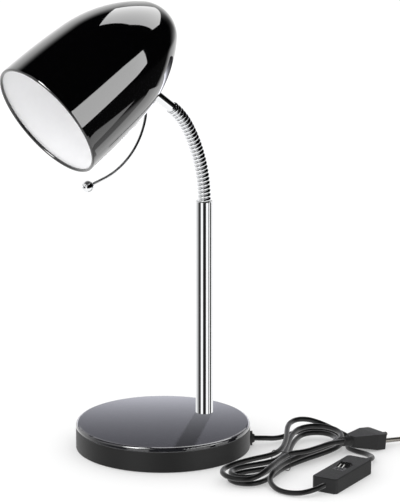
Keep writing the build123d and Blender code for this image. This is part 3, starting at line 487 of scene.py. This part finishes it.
def makeCord(name, points):
    data = bpy.data.curves.new(name, "CURVE")
    data.dimensions = "3D"
    data.bevel_depth = cordSettings["diameter"] / 2 * mm
    data.bevel_resolution = cordSettings["bevelSteps"]
    data.resolution_u = cordSettings["curveSteps"]
    data.use_fill_caps = True
    data.materials.append(pvc)
    spline = data.splines.new("NURBS")
    spline.points.add(len(points) - 1)
    for point, place in zip(spline.points, points):
        point.co = (*(Vector(place) * mm), 1.0)
    spline.order_u = 3
    spline.use_endpoint_u = True
    cord = addObject(name, data)
    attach(cord, "base")
    cord.visible_glossy = False
    return cord


def makeCords():
    c, h = cordSettings, hankSettings
    exitDirection = Vector((*polar(1.0, c["exitAngle"]), 0))
    outlet = Vector((*polar(c["exitReach"], c["exitAngle"]), c["exitHeight"]))
    hank = woundPoints(hankPath, h["startTurn"], h["endTurn"])
    front, frontRun = switchEnd(-1)
    toSwitch = [outlet, outlet + exitDirection * c["endRun"], *c["leadRoute"],
                hank[0] - along(hank[0], hank[1]), *hank, hank[-1] + along(hank[-2], hank[-1]),
                *c["frontRoute"], frontRun, front]
    first = makeCord("cordToSwitch", toSwitch)
    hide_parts("cord_lead", "cord_hank", "cord_front_run")
    rear, rearRun = switchEnd(1)
    loop = woundPoints(returnPath, h["returnStart"], h["returnEnd"])
    tail, tailRun = plugTail()
    toPlug = [rear, rearRun, *c["rearRoute"],
              loop[0] - along(loop[0], loop[1]), *loop, loop[-1] + along(loop[-2], loop[-1]),
              *c["plugRoute"], tailRun, tail]
    second = makeCord("cordToPlug", toPlug)
    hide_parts("cord_rear_run", "cord_return_loop", "cord_plug_run")


makeCords()
print("cords laid")


# Gooseneck: one continuous winding in stretches, each spanning one joint
neckSettings = {"poleOffset": 44.5, "poleTop": 211.0, "lowerRadius": 136.0, "lowerTurn": 30.0,
                "upperRadius": 64.0, "upperTurn": 21.6, "links": 9, "turnsPerLink": 3, "crest": 5.7,
                "depth": 1.75, "bore": 3.4, "around": 48, "stepsPerTurn": 18, "endReach": 0.8}
lowerLength = neckSettings["lowerRadius"] * radians(neckSettings["lowerTurn"])
neckLength = lowerLength + neckSettings["upperRadius"] * radians(neckSettings["upperTurn"])


def neckPlace(s):
    # Point on the neck's middle line, with the two directions across it
    n = neckSettings
    lean = min(max(s, 0.0), lowerLength) / n["lowerRadius"]
    y = n["poleOffset"] - n["lowerRadius"] * (1 - cos(lean))
    z = n["poleTop"] + n["lowerRadius"] * sin(lean) + min(s, 0.0)
    if s > lowerLength:
        start, lean = lean, lean + (s - lowerLength) / n["upperRadius"]
        y -= n["upperRadius"] * (cos(start) - cos(lean))
        z += n["upperRadius"] * (sin(lean) - sin(start))
    return Vector((0, y, z)), Vector((1, 0, 0)), Vector((0, cos(lean), sin(lean)))


def windingRadius(s, turn):
    # Round wire lying close against its neighbours, with a tight groove between the turns
    n = neckSettings
    pitch = neckLength / n["links"] / n["turnsPerLink"]
    phase = (s / pitch - turn) % 1.0
    bulge = sqrt(max(0.0, 1 - (2 * phase - 1) ** 2))
    return n["crest"] - n["depth"] * (1 - bulge)


def makeWinding(joint):
    n = neckSettings
    span = neckLength / n["links"]
    low = max(0.0, (joint - 0.5) * span)
    high = min(neckLength + n["endReach"], (joint + 0.5) * span)
    steps = max(2, round((high - low) / span * n["turnsPerLink"] * n["stepsPerTurn"]))
    around = n["around"]
    points, faces = [], []
    for k in range(steps + 1):
        s = low + (high - low) * k / steps
        middle, across, over = neckPlace(s)
        for i in range(around):
            angle = 2 * pi * i / around
            points.append(middle + (across * cos(angle) + over * sin(angle)) * windingRadius(s, i / around))
    for s in (low, high):
        middle, across, over = neckPlace(s)
        for i in range(around):
            angle = 2 * pi * i / around
            points.append(middle + (across * cos(angle) + over * sin(angle)) * n["bore"])
    rings = [*range(steps + 1), steps + 2, steps + 1]
    for a, b in zip(rings, rings[1:] + rings[:1]):
        for i in range(around):
            j = (i + 1) % around
            faces.append((a * around + i, a * around + j, b * around + j, b * around + i))
    stretch = meshObject(f"neckWinding{joint}", points, faces, [chrome])
    start, end = neckPlace((joint - 0.5) * span)[0], neckPlace((joint + 0.5) * span)[0]
    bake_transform(stretch)
    if joint > 0:
        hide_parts(f"neck_segment_{joint}")


for joint in range(neckSettings["links"] + 1):
    makeWinding(joint)
print("gooseneck wound")


# Shade: three tangent arcs turned about its axis, black outside, white inside, with a rolled rim
shadeSettings = {"rim": 54.0, "length": 142.0, "flank": 628.0, "shoulder": 126.0, "nose": 30.0, "sheet": 0.7,
                 "bead": 1.4, "sleeve": 30.2, "station": 95.4, "around": 192, "arcSteps": (22, 26, 16),
                 "beadSteps": 20, "beadTurn": 290.0, "beadGap": 0.3}


def shadeArcs():
    d = shadeSettings
    flank, nose = (d["rim"] - d["flank"], 0.0), (0.0, d["length"] - d["nose"])
    near, far = d["flank"] - d["shoulder"], d["shoulder"] - d["nose"]
    gap = hypot(nose[0] - flank[0], nose[1] - flank[1])
    ahead = ((nose[0] - flank[0]) / gap, (nose[1] - flank[1]) / gap)
    along = (near ** 2 - far ** 2 + gap ** 2) / (2 * gap)
    aside = sqrt(near ** 2 - along ** 2)
    shoulder = (flank[0] + along * ahead[0] + aside * ahead[1],
                flank[1] + along * ahead[1] - aside * ahead[0])
    joint = atan2(shoulder[1] - flank[1], shoulder[0] - flank[0])
    cap = atan2(nose[1] - shoulder[1], nose[0] - shoulder[0])
    return [(flank, d["flank"], 0.0, joint), (shoulder, d["shoulder"], joint, cap),
            (nose, d["nose"], cap, pi / 2)]


def shadePlane():
    # The shade hangs square on the end of the sleeve that carries on from the neck
    d = shadeSettings
    centre, radius, _, _ = shadeArcs()[1]
    lean = asin((d["station"] - centre[1]) / radius)
    wallRadius = centre[0] + radius * cos(lean)
    turn = radians(neckSettings["lowerTurn"] + neckSettings["upperTurn"])
    tilt = turn - lean
    axis, below = Vector((0, cos(tilt), sin(tilt))), Vector((0, sin(tilt), -cos(tilt)))
    wall = neckPlace(neckLength)[0] + Vector((0, -sin(turn), cos(turn))) * d["sleeve"]
    return wall - below * wallRadius - axis * d["station"], axis, below


def shadeProfile():
    # From the nose down the outside, round the rolled rim and back up the inside: (radius, station, slot)
    d = shadeSettings
    wall = []
    for (centre, radius, start, end), steps in zip(shadeArcs(), d["arcSteps"]):
        for k in range(steps):
            wall.append((centre, radius, start + (end - start) * k / steps))
    outside = [(c[0] + r * cos(a), c[1] + r * sin(a), 0) for c, r, a in wall]
    inner = [(c[0] + (r - d["sheet"]) * cos(a), c[1] + (r - d["sheet"]) * sin(a), 1) for c, r, a in wall]
    middle = d["rim"] - d["bead"]
    bead = []
    for k in range(1, d["beadSteps"] + 1):
        angle = -radians(d["beadTurn"]) * k / d["beadSteps"]
        bead.append((middle + d["bead"] * cos(angle), d["bead"] * sin(angle), 0))
    inner = [p for p in inner if p[1] > bead[-1][1] + d["beadGap"]]
    return [(0.0, d["length"], 0), *reversed(outside), *bead, *inner, (0.0, d["length"] - d["sheet"], 1)]


def makeShade():
    d = shadeSettings
    origin, axis, below = shadePlane()
    side = Vector((1, 0, 0))
    profile = shadeProfile()
    around = d["around"]
    points, faces, slots, rings = [], [], [], []
    for radius, station, slot in profile:
        count = around if radius > 1e-6 else 1
        rings.append((len(points), count, slot))
        for i in range(count):
            angle = 2 * pi * i / around
            points.append(origin + axis * station + (side * cos(angle) + below * sin(angle)) * radius)
    for (a, na, _), (b, nb, slot) in zip(rings, rings[1:]):
        for i in range(around):
            j = (i + 1) % around
            corners = [a + i % na, a + j % na, b + j % nb, b + i % nb]
            faces.append(tuple(dict.fromkeys(corners)))
            slots.append(slot)
    shade = meshObject("shadeSkin", points, faces, [enamel, reflectorWhite], slots)
    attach(shade, "head")
    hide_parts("shade")


makeShade()
print("shade turned")


# Stage: white floor, and a studio of soft panels given as directions from the lamp
floorSettings = {"size": 12.0, "colour": "#f4f4f4", "glow": 0.3}
studioSettings = {
    "dark": 0.002, "fill": 0.95,
    # azimuth from the camera's side, positive to its right; elevation above the table
    "panels": [
        {"azimuth": (-48, -18), "elevation": (-50, 0), "strength": 1.15, "soft": (1.5, 1.5)},
        {"azimuth": (-97, -15), "elevation": (4, 62), "strength": 0.9, "soft": (6, 4)},
        {"azimuth": (130, 200), "elevation": (-60, -6), "strength": 1.0, "soft": (6, 3)},
        {"azimuth": (142, 200), "elevation": (-20, 36), "strength": 1.0, "soft": (14, 10)},
        {"azimuth": (-200, -97), "elevation": (-60, 36), "strength": 1.0, "soft": (37, 10)},
        {"azimuth": (-200, 200), "elevation": (-100, -4), "strength": 0.02, "soft": (1, 2)},
        {"azimuth": (-200, 200), "elevation": (-100, -27), "strength": 0.5, "soft": (1, 2)},
        {"azimuth": (-200, 86), "elevation": (-100, -25), "strength": 1.08, "soft": (4, 2)},
    ],
}
# Bright soft boxes that light the enamel alone, by the directions of their corners
boxSettings = {
    "distance": 2500.0,
    "strip": {"corners": [(40, -10), (88, 14.5), (84, 33.3), (40, 27)], "strength": 4.5},
    "top": {"corners": [(109, 42), (121, 37), (158, 39), (184, 44), (196, 74), (116, 67)], "strength": 3.6},
    "edge": {"corners": [(-56, 25), (-34, 25), (-34, 72), (-56, 72)], "strength": 16.0},
}
# Lamps that light one piece each: a bounce into the shade's mouth, and one behind for the pole's shadow
lampSettings = {"mouth": {"piece": "shadeSkin", "azimuth": -37, "elevation": -20, "distance": 420.0,
                          "size": 500.0, "power": 0.95},
                "rear": {"piece": "base_cover", "azimuth": 168, "elevation": 45, "distance": 1200.0,
                         "size": 30.0, "power": 120.0}}
# Low white cards that stand round the pole, and a graded one behind the lamp, for gloss and metal to show
lowCardSettings = {"distance": 400.0, "low": -130.0, "high": 128.0, "strength": 1.15,
                   "spans": [(22, 54), (62, 84), (103, 134)]}
cardSettings = {"behind": 450.0, "width": 900.0, "low": 115.0, "high": 215.0, "middle": 166.0,
                "halving": 14.5, "strength": 0.38, "colour": "#f3f4ff"}


def emptyMaterial(name):
    material = bpy.data.materials.new(name)
    material.use_nodes = True
    material.node_tree.nodes.clear()
    return material, material.node_tree


def shownInGloss(card):
    card.visible_camera = card.visible_diffuse = card.visible_shadow = card.visible_transmission = False
    return card


def plainGlow(name, strength):
    material, tree = emptyMaterial(name)
    light = addNode(tree, "ShaderNodeEmission", {"Strength": strength})
    addNode(tree, "ShaderNodeOutputMaterial", {"Surface": light.outputs[0]})
    return material


def outwards(turn):
    # Level direction at an angle from the camera's side, positive to its right
    right, towards = levelAxes()
    near, aside = polar(1.0, turn)
    return towards * near + right * aside


def makeFloor():
    half = floorSettings["size"] / 2 / mm
    corners = [(-half, -half, 0), (half, -half, 0), (half, half, 0), (-half, half, 0)]
    material, tree = emptyMaterial("whitePaper")
    path = addNode(tree, "ShaderNodeLightPath")
    paper = addNode(tree, "ShaderNodeBsdfDiffuse", {"Color": linear(floorSettings["colour"])})
    glow = addNode(tree, "ShaderNodeEmission", {"Color": (1, 1, 1, 1), "Strength": 1.0})
    seen = addNode(tree, "ShaderNodeMath", {
        0: path.outputs["Is Camera Ray"], 1: path.outputs["Is Transmission Ray"]}, operation="ADD")
    share = addNode(tree, "ShaderNodeMath", {0: seen.outputs[0], 1: floorSettings["glow"]},
                    operation="MULTIPLY")
    mix = addNode(tree, "ShaderNodeMixShader", {
        0: share.outputs[0], 1: paper.outputs[0], 2: glow.outputs[0]})
    addNode(tree, "ShaderNodeOutputMaterial", {"Surface": mix.outputs[0]})
    floor = meshObject("floor", corners, [(0, 1, 2, 3)], [material])
    floor.visible_glossy = False


def makeCard():
    c = cardSettings
    right, towards = levelAxes()
    away = -towards * c["behind"]
    corners = [away + right * c["width"] * side + Vector((0, 0, c[level]))
               for side, level in ((-0.5, "low"), (0.5, "low"), (0.5, "high"), (-0.5, "high"))]
    material, tree = emptyMaterial("gradedCard")
    place = addNode(tree, "ShaderNodeTexCoord")
    parts = addNode(tree, "ShaderNodeSeparateXYZ", {0: place.outputs["Object"]})
    halvings = addNode(tree, "ShaderNodeMath", {
        0: parts.outputs["Z"], 1: -1 / (c["halving"] * mm), 2: c["middle"] / c["halving"]},
        operation="MULTIPLY_ADD")
    share = addNode(tree, "ShaderNodeMath", {0: 2.0, 1: halvings.outputs[0]}, operation="POWER")
    level = addNode(tree, "ShaderNodeMath", {0: share.outputs[0], 1: c["strength"]}, operation="MULTIPLY")
    light = addNode(tree, "ShaderNodeEmission", {
        "Color": linear(c["colour"]), "Strength": level.outputs[0]})
    addNode(tree, "ShaderNodeOutputMaterial", {"Surface": light.outputs[0]})
    shownInGloss(meshObject("gradedCard", corners, [(0, 1, 2, 3)], [material]))


def makeLowCards():
    c = lowCardSettings
    material = plainGlow("lowCard", c["strength"])
    pole = Vector((0, neckSettings["poleOffset"], 0))
    for k, (first, last) in enumerate(c["spans"]):
        corners = [pole + outwards(turn) * c["distance"] + Vector((0, 0, c[level])) for turn, level in
                   ((first, "low"), (last, "low"), (last, "high"), (first, "high"))]
        shownInGloss(meshObject(f"lowCard{k}", corners, [(0, 1, 2, 3)], [material]))


def makeBoxes():
    lit = bpy.data.collections.new("enamelled")
    for piece in (bpy.data.objects["shadeSkin"], nodes["base_cover"]):
        lit.objects.link(piece)
    for name in ("strip", "top", "edge"):
        corners = []
        for turn, rise in boxSettings[name]["corners"]:
            level, height = polar(boxSettings["distance"], rise)
            corners.append(outwards(turn) * level + Vector((0, 0, height)))
        material = plainGlow(f"{name}Light", boxSettings[name]["strength"])
        box = shownInGloss(meshObject(f"{name}Box", corners, [tuple(range(len(corners)))], [material]))
        box.light_linking.receiver_collection = lit


def makeLamps():
    origin, _, _ = shadePlane()
    for name, aim in (("mouth", origin), ("rear", Vector((0, 0, 0)))):
        s = lampSettings[name]
        data = bpy.data.lights.new(f"{name}Lamp", "AREA")
        data.size, data.energy = s["size"] * mm, s["power"]
        lamp = addObject(f"{name}Lamp", data)
        level, height = polar(s["distance"], s["elevation"])
        offset = outwards(s["azimuth"]) * level + Vector((0, 0, height))
        lamp.location = (aim + offset) * mm
        lamp.rotation_mode = "QUATERNION"
        lamp.rotation_quaternion = offset.to_track_quat("Z", "Y")
        lamp.visible_camera = lamp.visible_glossy = False
        only = bpy.data.collections.new(f"{name}Lit")
        only.objects.link(bpy.data.objects[s["piece"]])
        lamp.light_linking.receiver_collection = only


def makeStudio():
    world = bpy.data.worlds.new("studio")
    scene.world = world
    world.use_nodes = True
    tree = world.node_tree
    tree.nodes.clear()
    right, towards = levelAxes()
    place = addNode(tree, "ShaderNodeTexCoord")
    direction = place.outputs["Generated"]
    aside = addNode(tree, "ShaderNodeVectorMath", {0: direction, 1: right}, operation="DOT_PRODUCT")
    near = addNode(tree, "ShaderNodeVectorMath", {0: direction, 1: towards}, operation="DOT_PRODUCT")
    height = addNode(tree, "ShaderNodeVectorMath", {0: direction, 1: (0, 0, 1)}, operation="DOT_PRODUCT")
    turn = addNode(tree, "ShaderNodeMath", {0: aside.outputs["Value"], 1: near.outputs["Value"]},
                   operation="ARCTAN2")
    azimuth = addNode(tree, "ShaderNodeMath", {0: turn.outputs[0]}, operation="DEGREES")
    rise = addNode(tree, "ShaderNodeMath", {0: height.outputs["Value"]}, operation="ARCSINE")
    elevation = addNode(tree, "ShaderNodeMath", {0: rise.outputs[0]}, operation="DEGREES")

    def edge(value, at, soft, sign):
        limits = {"Value": value, "From Min": at - soft * sign, "From Max": at + soft * sign}
        return addNode(tree, "ShaderNodeMapRange", limits, interpolation_type="SMOOTHSTEP").outputs["Result"]

    total = addNode(tree, "ShaderNodeValue")
    total.outputs[0].default_value = studioSettings["dark"]
    total = total.outputs[0]
    for panel in studioSettings["panels"]:
        share = panel["strength"]
        for value, key, soft in zip((azimuth, elevation), ("azimuth", "elevation"), panel["soft"]):
            for at, sign in zip(panel[key], (1, -1)):
                share = addNode(tree, "ShaderNodeMath", {0: share, 1: edge(value.outputs[0], at, soft, sign)},
                                operation="MULTIPLY").outputs[0]
        total = addNode(tree, "ShaderNodeMath", {0: total, 1: share}, operation="MAXIMUM").outputs[0]
    path = addNode(tree, "ShaderNodeLightPath")
    dull = addNode(tree, "ShaderNodeMath", {0: 1.0, 1: path.outputs["Is Glossy Ray"]}, operation="SUBTRACT")
    filled = addNode(tree, "ShaderNodeMath", {0: dull.outputs[0], 1: studioSettings["fill"], 2: total},
                     operation="MULTIPLY_ADD")
    seen = addNode(tree, "ShaderNodeMix", {
        "Factor": path.outputs["Is Camera Ray"], "A": filled.outputs[0], "B": 1.0})
    light = addNode(tree, "ShaderNodeBackground", {
        "Color": (1, 1, 1, 1), "Strength": seen.outputs["Result"]})
    addNode(tree, "ShaderNodeOutputWorld", {"Surface": light.outputs[0]})


makeFloor()
makeCard()
makeLowCards()
makeBoxes()
makeLamps()
makeStudio()
print("stage set")
